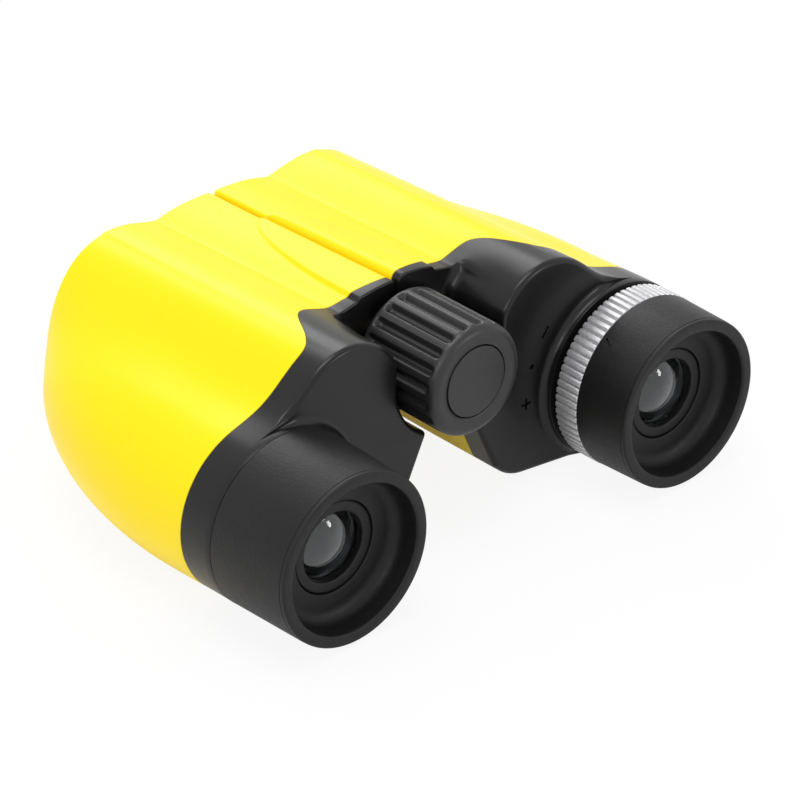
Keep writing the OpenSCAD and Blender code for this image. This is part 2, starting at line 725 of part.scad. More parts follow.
// Spring clip bent over a prism, with its feet on the shelf
module prism_clip(toward_front) {
    rise = strap_t * sqrt(2);
    foot = prism_half + strap_foot;
    edge = [[foot, 0], [foot, strap_t], [prism_half + rise - strap_t, strap_t]];
    points = concat(
        [[0, prism_half], [prism_half, 0]], edge,
        [[0, prism_half + rise]], [for (k = [2:-1:0]) [-edge[k][0], edge[k][1]]], [[-prism_half, 0]]
    );
    linear_extrude(strap_w, center = true)
        polygon([for (p = points) [p[0], toward_front * p[1]]]);
}

module rear_prism(s) {
    color(glass) half(s) between(objective_at, fold_at, shelf_y) prism(-1);
}

module front_prism(s) {
    color(glass) half(s) between(fold_at, eye_at, shelf_end) prism(1);
}

module prism_clips(s) {
    color(steel) half(s) {
        between(objective_at, fold_at, shelf_y) prism_clip(-1);
        between(fold_at, eye_at, shelf_end) prism_clip(1);
    }
}

module shelf_screws(s) {
    color(steel) half(s)
        for (k = [0, 1]) {
            rod(boss_at(k), screw_head_r, shelf_y - screw_head_t, shelf_y);
            rod(boss_at(k), shelf_screw_r, shelf_y, shelf_y + shelf_screw_l);
        }
}

module objective_tube(s) {
    color(black) half(s) tube(objective_at, guide_r, guide_r - guide_t, front_y - guide_l, front_y);
}

// Sliding cell with a neck for the focus arm behind and a seat for the lens in front
module objective_cell(s) {
    color(black) half(s) difference() {
        union() {
            rod(objective_at, cell_neck_r, nut_y, cell_y + cell_l);
            rod(objective_at, cell_r, cell_y, cell_y + cell_l);
        }
        rod(objective_at, cell_bore_r - cell_seat, nut_y - over, cell_y + cell_l + over);
        rod(objective_at, cell_bore_r, lens_y, cell_y + cell_l + over);
    }
}

module objective_lens(s) {
    color(glass) half(s) lens(objective_at, lens_r, lens_y, lens_ring_y, 0, lens_curve);
}

module objective_retainer(s) {
    color(black) half(s) difference() {
        tube(objective_at, cell_bore_r, cell_bore_r - cell_seat, lens_ring_y, lens_ring_y + lens_ring_l);
        lens(objective_at, lens_r + fit_gap, lens_y, lens_ring_y, 0, lens_curve);
    }
}

// Front ring that closes the guide tube and trims the edge of the shell
module front_bezel(s) {
    spigot = guide_r - guide_t;
    color(black) half(s) difference() {
        union() {
            rod(objective_at, spigot, front_y - bezel_l, front_y);
            rod(objective_at, bezel_r, front_y, overall_l);
        }
        rod(objective_at, spigot - bezel_wall, front_y - bezel_l - over, overall_l + over);
    }
}

module hinge_shaft() {
    color(steel) half(1) tube(hinge_at, shaft_r, shaft_bore_r, shaft_y, shaft_end);
}

module hinge_clip() {
    color(steel) half(1) tube(hinge_at, clip_r, shaft_r, shaft_end - clip_t, shaft_end);
}

module front_hinge_pin() {
    color(steel) half(1) {
        rod(hinge_at, pin_r, left_front_y, front_y);
        rod(hinge_at, pin_head_r, front_y - pin_head_t, front_y);
    }
}

// Fluted wheel with a recess for the cap and a bore for the screw
module focus_knob() {
    flute_at = knob_r + flute_r - flute_depth;
    color(black) half(1) difference() {
        turned(hinge_at) {
            band(0, knob_r, knob_y, knob_end - knob_chamfer, knob_edge);
            polygon([
                [0, knob_y + knob_edge], [knob_r, knob_y + knob_edge], [knob_r, knob_end - knob_chamfer],
                [knob_r - knob_chamfer, knob_end], [0, knob_end]
            ]);
        }
        for (k = [0:flute_count - 1])
            rod(
                hinge_at + flute_at * [cos(360 * k / flute_count), sin(360 * k / flute_count)],
                flute_r, knob_y + flute_set, knob_end - flute_rim
            );
        rod(hinge_at, cap_r, knob_y - over, knob_y + cap_t);
        rod(hinge_at, screw_r, screw_y, knob_end + over);
    }
}

module knob_cap() {
    color(rubber) half(1) rod(hinge_at, cap_r - fit_gap, knob_y, knob_y + cap_t);
}

module focus_screw() {
    color(brass) half(1) rod(hinge_at, screw_r, screw_y, screw_end);
}

// Arm from the hinge to an objective cell, with a ring on the cell's neck
module focus_arm(y, bore) {
    difference() {
        union() {
            rod(hinge_at, arm_r, y, y + arm_t);
            rod(objective_at, cell_r, y, y + arm_t);
            translate([nut_r, y, objective_h - arm_h / 2])
                cube([objective_x - cell_neck_r - nut_r + cell_t, arm_t, arm_h]);
        }
        rod(hinge_at, bore, y - over, y + arm_t + over);
        rod(objective_at, cell_neck_r, y - over, y + arm_t + over);
    }
}

module focus_nut() {
    color(brass) half(-1) {
        focus_arm(nut_y, nut_r);
        tube(hinge_at, nut_r, screw_r + shaft_gap, nut_y, nut_y + nut_l);
    }
}

module right_focus_arm() {
    color(brass) half(1) focus_arm(right_arm_y, nut_r + shaft_gap);
}

module nut_clip() {
    color(steel) half(1) tube(hinge_at, clip_r + clip_t, nut_r, nut_clip_y, nut_clip_y + clip_t);
}

body_shell(-1);  // left_body_shell
body_shell(1);  // right_body_shell
rear_housing(-1);  // left_rear_housing
rear_housing(1);  // right_rear_housing
eyecup(-1);  // left_eyecup
eyecup(1);  // right_eyecup
diopter_ring();
lens_tube(-1);  // left_lens_tube
lens_tube(1);  // right_lens_tube
eye_lens(-1);  // left_eye_lens
eye_lens(1);  // right_eye_lens
lens_spacer(-1);  // left_lens_spacer
lens_spacer(1);  // right_lens_spacer
field_lens(-1);  // left_field_lens
field_lens(1);  // right_field_lens
lens_retainer(-1);  // left_lens_retainer
lens_retainer(1);  // right_lens_retainer
prism_shelf(-1);  // left_prism_shelf
prism_shelf(1);  // right_prism_shelf
rear_prism(-1);  // left_rear_prism
rear_prism(1);  // right_rear_prism
front_prism(-1);  // left_front_prism
front_prism(1);  // right_front_prism
prism_clips(-1);  // left_prism_clips
prism_clips(1);  // right_prism_clips
shelf_screws(-1);  // left_shelf_screws
shelf_screws(1);  // right_shelf_screws
objective_tube(-1);  // left_objective_tube
objective_tube(1);  // right_objective_tube
objective_cell(-1);  // left_objective_cell
objective_cell(1);  // right_objective_cell
objective_lens(-1);  // left_objective_lens
objective_lens(1);  // right_objective_lens
objective_retainer(-1);  // left_objective_retainer
objective_retainer(1);  // right_objective_retainer
front_bezel(-1);  // left_front_bezel
front_bezel(1);  // right_front_bezel
hinge_shaft();
hinge_clip();
front_hinge_pin();
focus_knob();
knob_cap();
focus_screw();
focus_nut();
right_focus_arm();
nut_clip();
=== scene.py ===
import bmesh
import bpy
import math
import numpy as np
from mathutils import Matrix, Vector


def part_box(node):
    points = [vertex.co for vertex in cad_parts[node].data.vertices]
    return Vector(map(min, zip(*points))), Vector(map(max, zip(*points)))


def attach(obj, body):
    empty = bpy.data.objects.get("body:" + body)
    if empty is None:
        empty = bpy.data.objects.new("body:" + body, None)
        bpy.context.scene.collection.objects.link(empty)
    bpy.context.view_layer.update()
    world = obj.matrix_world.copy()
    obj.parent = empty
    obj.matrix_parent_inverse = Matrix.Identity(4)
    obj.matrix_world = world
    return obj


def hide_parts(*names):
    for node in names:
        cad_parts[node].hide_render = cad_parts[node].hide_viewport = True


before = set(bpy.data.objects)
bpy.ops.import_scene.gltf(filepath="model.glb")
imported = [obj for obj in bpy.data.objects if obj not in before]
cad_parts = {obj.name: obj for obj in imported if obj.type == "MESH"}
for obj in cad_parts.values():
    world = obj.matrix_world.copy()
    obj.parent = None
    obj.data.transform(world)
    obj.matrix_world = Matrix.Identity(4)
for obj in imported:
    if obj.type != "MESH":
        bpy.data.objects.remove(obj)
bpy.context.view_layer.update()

# Camera: stands behind and to the left of the eyepieces and looks down at them along the barrels.
# Lengths in this file are millimetres from the eyecup rims and the height of the eyepiece axes.
# Only the board and the lamps are placed in metres.
rest_h = 14.65
rim_at = np.array((0.0, -36.7, rest_h))
azimuth, elevation, roll = (math.radians(v) for v in (-42.71, 29.74, 0.69))
aside, above, away = -18.95, 11.95, 651.58
sensor_w, focal_l, clip_near = 36, 197.44, 0.01


def metres(points):
    return (np.asarray(points, float) + rim_at) / 1000


back = Vector((math.sin(azimuth) * math.cos(elevation), -math.cos(azimuth) * math.cos(elevation),
               math.sin(elevation)))
level = Vector((math.cos(azimuth), math.sin(azimuth), 0))
upward = back.cross(level)
right = level * math.cos(roll) + upward * math.sin(roll)
upward = upward * math.cos(roll) - level * math.sin(roll)
stand = metres(right * aside + upward * above + back * away)
camera = bpy.data.objects.new("camera", bpy.data.cameras.new("camera"))
camera.data.sensor_width = sensor_w
camera.data.lens = focal_l
camera.data.clip_start = clip_near
camera.matrix_world = Matrix((
    (right.x, upward.x, back.x, stand[0]),
    (right.y, upward.y, back.y, stand[1]),
    (right.z, upward.z, back.z, stand[2]),
    (0, 0, 0, 1)))
bpy.context.collection.objects.link(camera)
bpy.context.scene.camera = camera


# Table and light: a white sweep of matt board in a white surround, under a large softbox above and
# smaller ones at the front, the rear and the left, as small goods are photographed. The board looks
# white and keeps the soft shadow.
surround_light, board_glow, board_sheen = 0.6, 0.9, 0.4
white, paper_dull, paper_bright = (1, 1, 1, 1), (0.9, 0.9, 0.9), (0.92, 0.92, 0.92)
board_half, fibre_w = 3.0, 1.11
square = ((-1, -1), (1, -1), (1, 1), (-1, 1))
lamp_aim = Vector((0, 0, 0.02))


class Value:
    """A shader socket that can be reckoned with."""

    def __init__(self, socket):
        self.socket = socket
        self.tree = socket.id_data

    def add(self, kind, settings=None, inputs=None, out=0):
        """Adds a node of any kind: its settings first, then the values or links of its sockets."""
        node = self.tree.nodes.new(kind)
        for key, setting in (settings or {}).items():
            setattr(node, key, setting)
        for key, given in (inputs or {}).items():
            if isinstance(given, Value):
                self.tree.links.new(given.socket, node.inputs[key])
            else:
                node.inputs[key].default_value = given
        return Value(node.outputs[out])

    def reckon(self, operation, other):
        return self.add("ShaderNodeMath", {"operation": operation}, {0: self, 1: other})

    def __add__(self, other):
        return self.reckon("ADD", other)

    def __mul__(self, other):
        return self.reckon("MULTIPLY", other)

    def __or__(self, other):
        return self.reckon("MAXIMUM", other)

    __radd__, __rmul__, __ror__ = __add__, __mul__, __or__

    def mix(self, low, high):
        """A colour between two others, by this value."""
        return self.add("ShaderNodeMix", {"data_type": "RGBA"}, {0: self, 6: (*low, 1), 7: (*high, 1)}, 2)


def rays(start, kind):
    """One for rays of a kind and zero for all others."""
    return start.add("ShaderNodeLightPath", out=f"Is {kind} Ray")


def feed(value, node, name):
    node.id_data.links.new(value.socket, node.inputs[name])


def new_finish(name):
    """A material, its shader and the place on the object that its textures start from."""
    material = bpy.data.materials.new(name)
    material.use_nodes = True
    shader = material.node_tree.nodes["Principled BSDF"]
    return material, shader, Value(shader.outputs[0]).add("ShaderNodeTexCoord", out="Object")


def noise(place, size, detail=2.0, roughness=0.5):
    """Noise whose grain is about size millimetres across."""
    return place.add("ShaderNodeTexNoise", None,
                     {"Vector": place, "Scale": 1000 / size, "Detail": detail, "Roughness": roughness})


scene = bpy.context.scene
scene.view_settings.view_transform = "Standard"
scene.world = bpy.data.worlds.new("white_surround")
scene.world.use_nodes = True
backdrop = scene.world.node_tree.nodes["Background"]
backdrop.inputs["Color"].default_value = white
start = Value(backdrop.outputs[0])
seen = rays(start, "Camera") | rays(start, "Glossy") | rays(start, "Transmission")
feed(surround_light + (1 - surround_light) * seen, backdrop, "Strength")

board_mesh = bpy.data.meshes.new("board")
board_mesh.from_pydata([(x * board_half, y * board_half, 0) for x, y in square], [], [(0, 1, 2, 3)])
board = bpy.data.objects.new("board", board_mesh)
bpy.context.collection.objects.link(board)
board_paper, paper, place = new_finish("board_paper")
feed(noise(place, fibre_w, 3.0).mix(paper_dull, paper_bright), paper, "Base Color")
paper.inputs["Roughness"].default_value = 0.9
paper.inputs["Specular IOR Level"].default_value = 0.1
seen = rays(place, "Camera") | rays(place, "Transmission") | board_sheen * rays(place, "Glossy")
glow = place.add("ShaderNodeEmission", None, {"Color": white, "Strength": 1.0})
lit_paper = place.add("ShaderNodeMixShader", None,
                      {0: board_glow * seen, 1: Value(paper.outputs[0]), 2: glow})
feed(lit_paper, board_paper.node_tree.nodes["Material Output"], "Surface")
board_mesh.materials.append(board_paper)

for name, at, size, watts in (
        ("top_softbox", (-0.1, 0.02, 0.8), (0.42, 0.42), 2.75),
        ("front_softbox", (0.3, 0.62, 0.5), (0.4, 0.4), 1.8),
        ("rear_softbox", (0.33, -0.69, 0.27), (0.1, 0.16), 0.7),
        ("left_softbox", (-0.62, -0.36, 0.45), (0.26, 0.26), 1.0)):
    lamp = bpy.data.lights.new(name, "AREA")
    lamp.shape = "RECTANGLE"
    lamp.size, lamp.size_y = size
    lamp.energy = watts
    holder = bpy.data.objects.new(name, lamp)
    holder.location = at
    holder.rotation_euler = (lamp_aim - Vector(at)).to_track_quat("-Z", "Y").to_euler()
    bpy.context.collection.objects.link(holder)


# Body shells: two hollow yellow halves of glossy moulded plastic, each with an objective barrel
# beside the hinge and a belly towards the eyepiece. They fold on two knuckles each and carry a
# low raised leaf along the seam.
rear_y, front_y = 17.0, 72.8
eye_at, objective_at = np.array((34.15, 0.0)), np.array((20.1, 8.8))
hinge_h, seam_gap, splay = 12.0, 0.6, math.radians(25)
barrel_r, hump_at, hump_r = 11.9, np.array((20.3, 12.0)), 10.8
swell_r, belly_drop, foot_depth = 14.4, 0.5, 0.25
nose_l, nose_r, nose_at = 41.0, 5.7, np.array((22.0, 3.8))
keel_r, keel_rise, keel_nose_r, keel_nose_h = 8.0, 1.8, 7.6, 2.1
deck_h, ridge_h, ridge_w, low_deck_h = (20.4, 19.2), (21.6, 20.6), 11.5, 10.0
valley_blend, deck_blend = 7.7, 3.0
leaf_w, leaf_l, leaf_t, leaf_edge, leaf_crown = 7.1, 28.7, (1.2, 0.7), 1.0, 0.35
left_lift, right_lift = 0.65, 1.0
seam_edge, softer_edge, softer_end, softer_fade = 0.9, 0.8, 62.0, 6.0
part_y, lug_y, swing_x, swing_w, swing_low, swing_rise, rake = 22.3, 30.8, 23.7, 6.0, 3.0, 7.0, 0.1
soft_start, soft_w, soft_rounds = 1.0, 2.0, 40
wall, front_wall, front_edge, hem, zone_r = 1.6, 2.2, 1.2, 0.05, 7.0
nose_y = front_y - nose_l
core = objective_at - np.array((0, objective_at[1] / 2))
tiny = 1e-9


def between(a, b, t):
    return a + (b - a) * t


def eased(t):
    u = np.clip(t, 0, 1)
    return u * u * (3 - 2 * u)


def joined(a, b, width):
    """The nearer of two surfaces, with the valley between them filled."""
    u = np.maximum(width - np.abs(a - b), 0) / width
    return np.minimum(a, b) - u * u * width / 4


def edged(a, b, width):
    """What two surfaces share, with the edge between them rounded."""
    return -joined(-a, -b, width)


def past_pair(x, z, ax, az, ar, bx, bz, br):
    """Distance outside the round hull of two circles."""
    dx, dz = bx - ax, bz - az
    h = dx * dx + dz * dz
    vx, vz = x - ax, z - az
    across = np.abs(vx * dz - vz * dx) / h
    up = (vx * dx + vz * dz) / h
    drop = ar - br
    lean = np.sqrt(h - drop * drop)
    k = lean * up - drop * across
    return np.where(k < 0, np.hypot(vx, vz) - ar,
                    np.where(k > lean, np.hypot(x - bx, z - bz) - br, lean * across + drop * up - ar))


def leaf_half(y):
    u = np.maximum(y - lug_y, 0) / leaf_l
    return leaf_w * np.sqrt(np.maximum(1 - u * u, 0))


def deck_at(x, y, lift):
    """Height of the bridge beside the seam, with the raised leaf on it."""
    along = (y - rear_y) / (front_y - rear_y)
    low, high = between(*deck_h, along), between(*ridge_h, along)
    half = leaf_half(y)
    thick = between(*leaf_t, np.clip((y - lug_y) / leaf_l, 0, 1)) * lift
    share = np.minimum(x / np.maximum(half, tiny), 1)
    leaf = thick * (1 - leaf_crown * share ** 2) * eased((half + leaf_edge - x) / leaf_edge)
    ridge = np.maximum(1 - (np.abs(x) / ridge_w) ** 3, 0)
    return low + (high - low) * ridge + np.where(half > 0, leaf, 0)


def past_body(x, z, y, lift, bridged=True):
    """Distance outside the right half's section at a station, with or without the bridge's top."""
    along = (y - rear_y) / (front_y - rear_y)
    belly_in = eased((y - rear_y) / (nose_y - rear_y))
    u = np.clip((y - nose_y) / nose_l, 0, 1)
    nose_in = 1 - np.sqrt(1 - u * u)
    cx, cz = between(hump_at[0], objective_at[0], along), between(hump_at[1], objective_at[1], along)
    hump = np.hypot(x - cx, z - cz) - between(hump_r, barrel_r, along)
    sx = between(eye_at[0], nose_at[0], nose_in)
    sz = between(eye_at[1] - belly_drop * belly_in, nose_at[1], nose_in)
    sr = between(between(swell_r, rest_h + foot_depth - belly_drop, belly_in), nose_r, nose_in)
    kr = between(keel_r, keel_nose_r, nose_in)
    kz = between(keel_r - swell_r + keel_rise, keel_nose_h, nose_in)
    kx = (kr - math.sin(splay) * (kz - hinge_h)) / math.cos(splay)
    body = joined(hump, past_pair(x, z, kx, kz, kr, sx, sz, sr), valley_blend)
    below = math.sin(splay) * (x - kx) - math.cos(splay) * (z - kz)
    top = deck_at(x, y, lift) if bridged else low_deck_h
    deck = np.maximum(np.maximum(z - top, below), x - cx)
    body = joined(body, deck, deck_blend)
    body = np.maximum(body, -math.cos(splay) * x - math.sin(splay) * (z - hinge_h))
    softer = softer_edge if lift == right_lift else 0
    return edged(body, seam_gap / 2 - x, seam_edge + softer * eased((softer_end - y) / softer_fade))


# Points round a section: down the seam, round the outside, over the bridge, up the leaf's edge
# and along the leaf back to the seam. The powers crowd them towards the top edge of the seam.
seam_part = np.linspace(0, 1, 14, endpoint=False) ** 1.6
round_part = np.linspace(0, 1, 300, endpoint=False)
deck_part = np.linspace(0, 1, 16, endpoint=False)
ramp_part = np.linspace(0, 1, 8, endpoint=False)
leaf_part = 1 - (1 - np.linspace(0, 1, 36, endpoint=False)) ** 1.7
starts = np.cumsum([0] + [len(p) for p in (seam_part, round_part, deck_part, ramp_part, leaf_part)])
ring_count = int(starts[-1])
on_seam, on_round, on_deck, on_ramp, on_leaf = (slice(a, b) for a, b in zip(starts[:-1], starts[1:]))
search_r, halvings = 70.0, 32


def bearings(y, lift):
    """Directions of the points of a ring, seen from the core."""
    def toward(x, z):
        return np.arctan2(z - core[1], x - core[0])

    seam = seam_gap / 2
    half = np.maximum(leaf_half(y), 2 * leaf_edge)
    x = np.empty(ring_count)
    x[on_seam] = seam
    x[on_round] = ridge_w
    x[on_deck] = between(ridge_w, half[on_deck] + leaf_edge, deck_part)
    x[on_ramp] = half[on_ramp] + leaf_edge * (1 - ramp_part)
    x[on_leaf] = between(half[on_leaf], seam, leaf_part)
    top = deck_at(x, y, lift)
    out = toward(x, top) + 2 * math.pi
    out[on_seam] = toward(seam, between(top[on_seam], hinge_h, seam_part))
    out[on_round] = between(toward(seam, hinge_h), out[on_round], round_part)
    return out


def section_ring(stations, lift, skin=0.0, inner=0.0, ahead=0.0, past=past_body):
    """One ring of points, each at its own station, a skin's depth inside the section."""
    y = np.minimum(stations + ahead, front_y)
    a = bearings(y, lift)
    near, far = np.zeros_like(a), np.full_like(a, search_r)
    for _ in range(halvings):
        r = (near + far) / 2
        x, z = core[0] + r * np.cos(a), core[1] + r * np.sin(a)
        inside = np.maximum(past(x, z, y, lift), inner - x) + skin < 0
        near, far = np.where(inside, r, near), np.where(inside, far, r)
    return np.stack((x, stations, z), -1)


def level_ring(y):
    return np.full(ring_count, float(y))


def rounding(count):
    """Angles round the quarter circle of an edge, from its end face to its side."""
    return np.radians(np.linspace(90, 0, count))


def parting_line(lift):
    """Stations of the joint between shell and housing: it swings forward beside the wheel."""
    x, _, z = section_ring(level_ring(lug_y), lift).T
    swing = lug_y - part_y + rake * np.minimum(x, ridge_w)
    line = part_y + swing * eased((swing_x - x) / swing_w) * eased((z + swing_low) / swing_rise)
    soft = line.copy()
    for _ in range(soft_rounds):
        soft[1:-1] = (soft[:-2] + 2 * soft[1:-1] + soft[2:]) / 4
    return between(line, soft, eased((x - leaf_w - soft_start) / soft_w))


def cleaned(mesh, merge):
    """Joins points that fall together and turns the faces outward."""
    same_point, no_length = 1e-6, 1e-7
    work = bmesh.new()
    work.from_mesh(mesh)
    if merge:
        bmesh.ops.remove_doubles(work, verts=work.verts, dist=same_point)
        bmesh.ops.dissolve_degenerate(work, edges=work.edges, dist=no_length)
    if work.calc_volume(signed=True) < 0:
        bmesh.ops.reverse_faces(work, faces=work.faces)
    work.to_mesh(mesh)
    work.free()
    return mesh


def skin_mesh(name, rings, side=1, looped=False, hub=None, merge=True):
    """A skin through rings of points: a fan closes each end, or the last ring meets the first."""
    rings = np.asarray(rings, float)
    total, count = rings.shape[:2]
    points = rings.reshape(-1, 3)
    here = np.arange(count)
    after = np.roll(here, -1)
    faces = []
    for j in range(total if looped else total - 1):
        one, two = j * count, (j + 1) % total * count
        faces += np.stack((one + here, one + after, two + after, two + here), -1).tolist()
    if not looped:
        for ring, first, second in ((0, after, here), (total - 1, here, after)):
            middle = rings[ring].mean(0)
            if hub is not None:
                middle[[0, 2]] = hub
            centre = np.full(count, len(points))
            faces += np.stack((centre, ring * count + first, ring * count + second), -1).tolist()
            points = np.concatenate((points, middle[None]))
    mesh = bpy.data.meshes.new(name)
    mesh.from_pydata(metres(points * (side, 1, 1)).tolist(), [], faces)
    return cleaned(mesh, merge)


def circle(at, r, y, a):
    """Points about an axis along the barrels, at bearings a."""
    return np.stack((at[0] + r * np.cos(a), y + 0 * a, at[1] + r * np.sin(a)), -1)


def rod(x, z, r, y0, y1):
    """A round tool along the barrels."""
    a = np.linspace(0, 2 * math.pi, 96, endpoint=False)
    return skin_mesh("tool", [circle((x, z), r, y, a) for y in (y0, y1)])


def block(x0, x1, y0, y1, z0, z1):
    """A square tool."""
    return skin_mesh("tool", [[(x0, y, z0), (x1, y, z0), (x1, y, z1), (x0, y, z1)] for y in (y0, y1)])


def worked(mesh, *steps):
    """Takes tools away from a mesh, or welds them on, one after the other."""
    for kind, tool in steps:
        base = bpy.data.objects.new("work", mesh)
        other = bpy.data.objects.new("tool", tool)
        for obj in (base, other):
            bpy.context.collection.objects.link(obj)
        cut = base.modifiers.new("cut", "BOOLEAN")
        cut.operation = kind
        cut.solver = "MANIFOLD"
        cut.object = other
        graph = bpy.context.evaluated_depsgraph_get()
        mesh = bpy.data.meshes.new_from_object(base.evaluated_get(graph))
        for obj in (base, other):
            bpy.data.objects.remove(obj)
    return mesh


def piece(name, mesh, body, finish, sharp=34):
    """Puts a mesh in the scene on the body it rides on, in place of the CAD node of its name."""
    for polygon in mesh.polygons:
        polygon.use_smooth = True
    mesh.set_sharp_from_angle(angle=math.radians(sharp))
    mesh.materials.clear()
    mesh.materials.append(finish)
    obj = bpy.data.objects.new(name, mesh)
    bpy.context.collection.objects.link(obj)
    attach(obj, body)
    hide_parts(name)


def bump(place, height, depth, strength):
    """A bump of a depth in millimetres."""
    return place.add("ShaderNodeBump", None,
                     {"Strength": strength, "Distance": depth / 1000, "Height": height})


yellow_deep, yellow_pale = (1.0, 0.745, 0.003), (1.0, 0.775, 0.005)
yellow, shader, place = new_finish("gloss_yellow")
feed(noise(place, 24.0).mix(yellow_deep, yellow_pale), shader, "Base Color")
feed(0.28 + 0.08 * noise(place, 9.0, 3.0), shader, "Roughness")
shader.inputs["Specular IOR Level"].default_value = 0.18
feed(bump(place, noise(place, 3.2), 0.02, 0.08), shader, "Normal")

# The knuckles of the halves alternate along the hinge, and each half is cleared round the other's.
knuckle_r, knuckle_l, knuckle_gap, room_end = 6.6, 7.0, 0.3, 73.3
left_knuckles = [(y, y + knuckle_l) for y in (32.4, 58.5)]
right_knuckles = [(end + knuckle_gap, end + knuckle_gap + knuckle_l) for _, end in left_knuckles]
left_rooms = ((left_knuckles[0][1], left_knuckles[1][0]), (left_knuckles[1][1], room_end))
right_rooms = ((part_y, right_knuckles[0][0]), (right_knuckles[0][1], right_knuckles[1][0]))
shaft_r, shaft_y, pin_r, pin_y = 3.5, (22.0, 58.0), 2.5, (57.0, 74.0)
pin_head_r, pin_head_y, opening_r, opening_y = 4.08, (71.6, 74.0), 10.0, (69.0, 74.0)
arm_reach, arm_back, arm_fore, arm_h = 10.2, 2.0, 3.8, (6.2, 11.4)
running_fit, beyond = 0.08, 80.0
for side, label, lift, own, rooms, arm_y, fit in (
        (-1, "left", left_lift, left_knuckles, left_rooms, 50.5, 0),
        (1, "right", right_lift, right_knuckles, right_rooms, 52.6, running_fit)):
    name = label + "_body_shell"
    parting = parting_line(lift)
    rings = []
    for t in rounding(11):
        rings.append(section_ring(level_ring(front_y - front_edge * (1 - math.sin(t))), lift,
                                  front_edge * (1 - math.cos(t))))
    for t in np.sin(rounding(96)[1:]):
        rings.append(section_ring(between(parting, front_y - front_edge, t), lift))
    rings[-1][:, 1] += hem
    rings.append(section_ring(parting, lift, hem))
    for t in np.sin(rounding(14)[::-1]):
        rings.append(section_ring(between(parting, front_y - front_wall, t), lift, wall, zone_r, front_wall))
    mesh = skin_mesh(name, rings, side, hub=core)
    steps = [("DIFFERENCE", rod(0, hinge_h, zone_r, *room)) for room in rooms]
    arm_x = sorted((0, side * arm_reach))
    steps += [("DIFFERENCE", block(*arm_x, arm_y - arm_back, arm_y + arm_fore, *arm_h))]
    steps += [("UNION", rod(0, hinge_h, knuckle_r, *knuckle)) for knuckle in own]
    steps += [
        ("DIFFERENCE", rod(0, hinge_h, shaft_r + fit, *shaft_y)),
        ("DIFFERENCE", rod(0, hinge_h, pin_r + fit, *pin_y)),
        ("DIFFERENCE", rod(0, hinge_h, pin_head_r, *pin_head_y)),
        ("DIFFERENCE", rod(side * objective_at[0], objective_at[1], opening_r, *opening_y)),
        ("DIFFERENCE", block(-beyond, beyond, 0, beyond, -beyond, -rest_h))]
    piece(name, worked(mesh, *steps), label + "_half", yellow)


# Rear housings: satin black moulded caps that close the shells at the back. Each has a hollow for
# the wheel, a lug at the hinge, an eyepiece collar and a lip pushed into the shell.
bay_r, bay_y, bay_edge, bay_edge_low, bay_edge_rise = 10.5, 29.2, (0.5, 2.0), 4.0, 8.0
rim_edge, rim_clear, part_gap, lip_l, lip_play = 0.9, 1.6, 0.1, 1.6, 0.15
lug_edge, lug_fillet, lug_least, lug_bore_r, lug_bore_y = 0.3, 2.0, 0.5, 3.9, (16.0, 40.0)
deep_from, deep_over, shallow_from, shallow_over, shallow_l = 0.8, 1.5, 0.6, 0.8, 9.0
most_share, step_gap, ring_gap = 0.99, 0.02, 0.004
collar_r, collar_y, collar_edge, collar_bevel, collar_root = 14.4, 15.6, 0.15, 0.04, 0.5
collar_fillet, flare_margin, flare_gap = 1.3, 0.54, 0.01
sleeve_r, sleeve_y, sleeve_edge, sleeve_root = 11.2, 6.8, 0.2, 1.5
sleeve_bore, sleeve_bore_y = 8.8, (10.0, 19.0)
mark_r, mark_depth, mark_start, stroke = 18.15, 0.4, 0.5, 0.42
marks = ((143, ((2.1, stroke),)), (161, ((0.7, 0.7),)), (181, ((2.0, stroke), (stroke, 2.0))))
housing_deep, housing_pale = (0.004, 0.004, 0.0044), (0.008, 0.008, 0.0084)


def past_bayed(x, z, y, lift):
    """Distance outside the housing's section behind the lug, with the wheel's hollow cut into it."""
    return edged(past_body(x, z, y, lift, False), bay_r - np.hypot(x, z - hinge_h),
                 between(*bay_edge, eased((z - bay_edge_low) / bay_edge_rise)))


def together(name, *meshes):
    """Several meshes as one."""
    points, faces = [], []
    for mesh in meshes:
        start = len(points)
        points += [tuple(v.co) for v in mesh.vertices]
        faces += [tuple(start + k for k in p.vertices) for p in mesh.polygons]
    mesh = bpy.data.meshes.new(name)
    mesh.from_pydata(points, [], faces)
    return mesh


def mark_tool(ends, r, wide, deep):
    """A bar for a mark about the right eyepiece, between two ends of a bearing and a station each."""
    rings = []
    for bearing, y in ends:
        t = math.radians(bearing)
        out, along = np.array((math.cos(t), math.sin(t))), np.array((-math.sin(t), math.cos(t)))
        spots = [eye_at + out * (r + deep / 2 * p) + along * wide / 2 * q for p, q in square]
        rings.append([(x, y, z) for x, z in spots])
    return skin_mesh("mark", rings)


black, shader, place = new_finish("satin_black")
feed(noise(place, 14.0, 3.0).mix(housing_deep, housing_pale), shader, "Base Color")
feed(0.25 + 0.08 * noise(place, 5.0, 4.0), shader, "Roughness")
shader.inputs["Specular IOR Level"].default_value = 0.31
feed(bump(place, noise(place, 0.35, 3.0, 0.6), 0.02, 0.35), shader, "Normal")

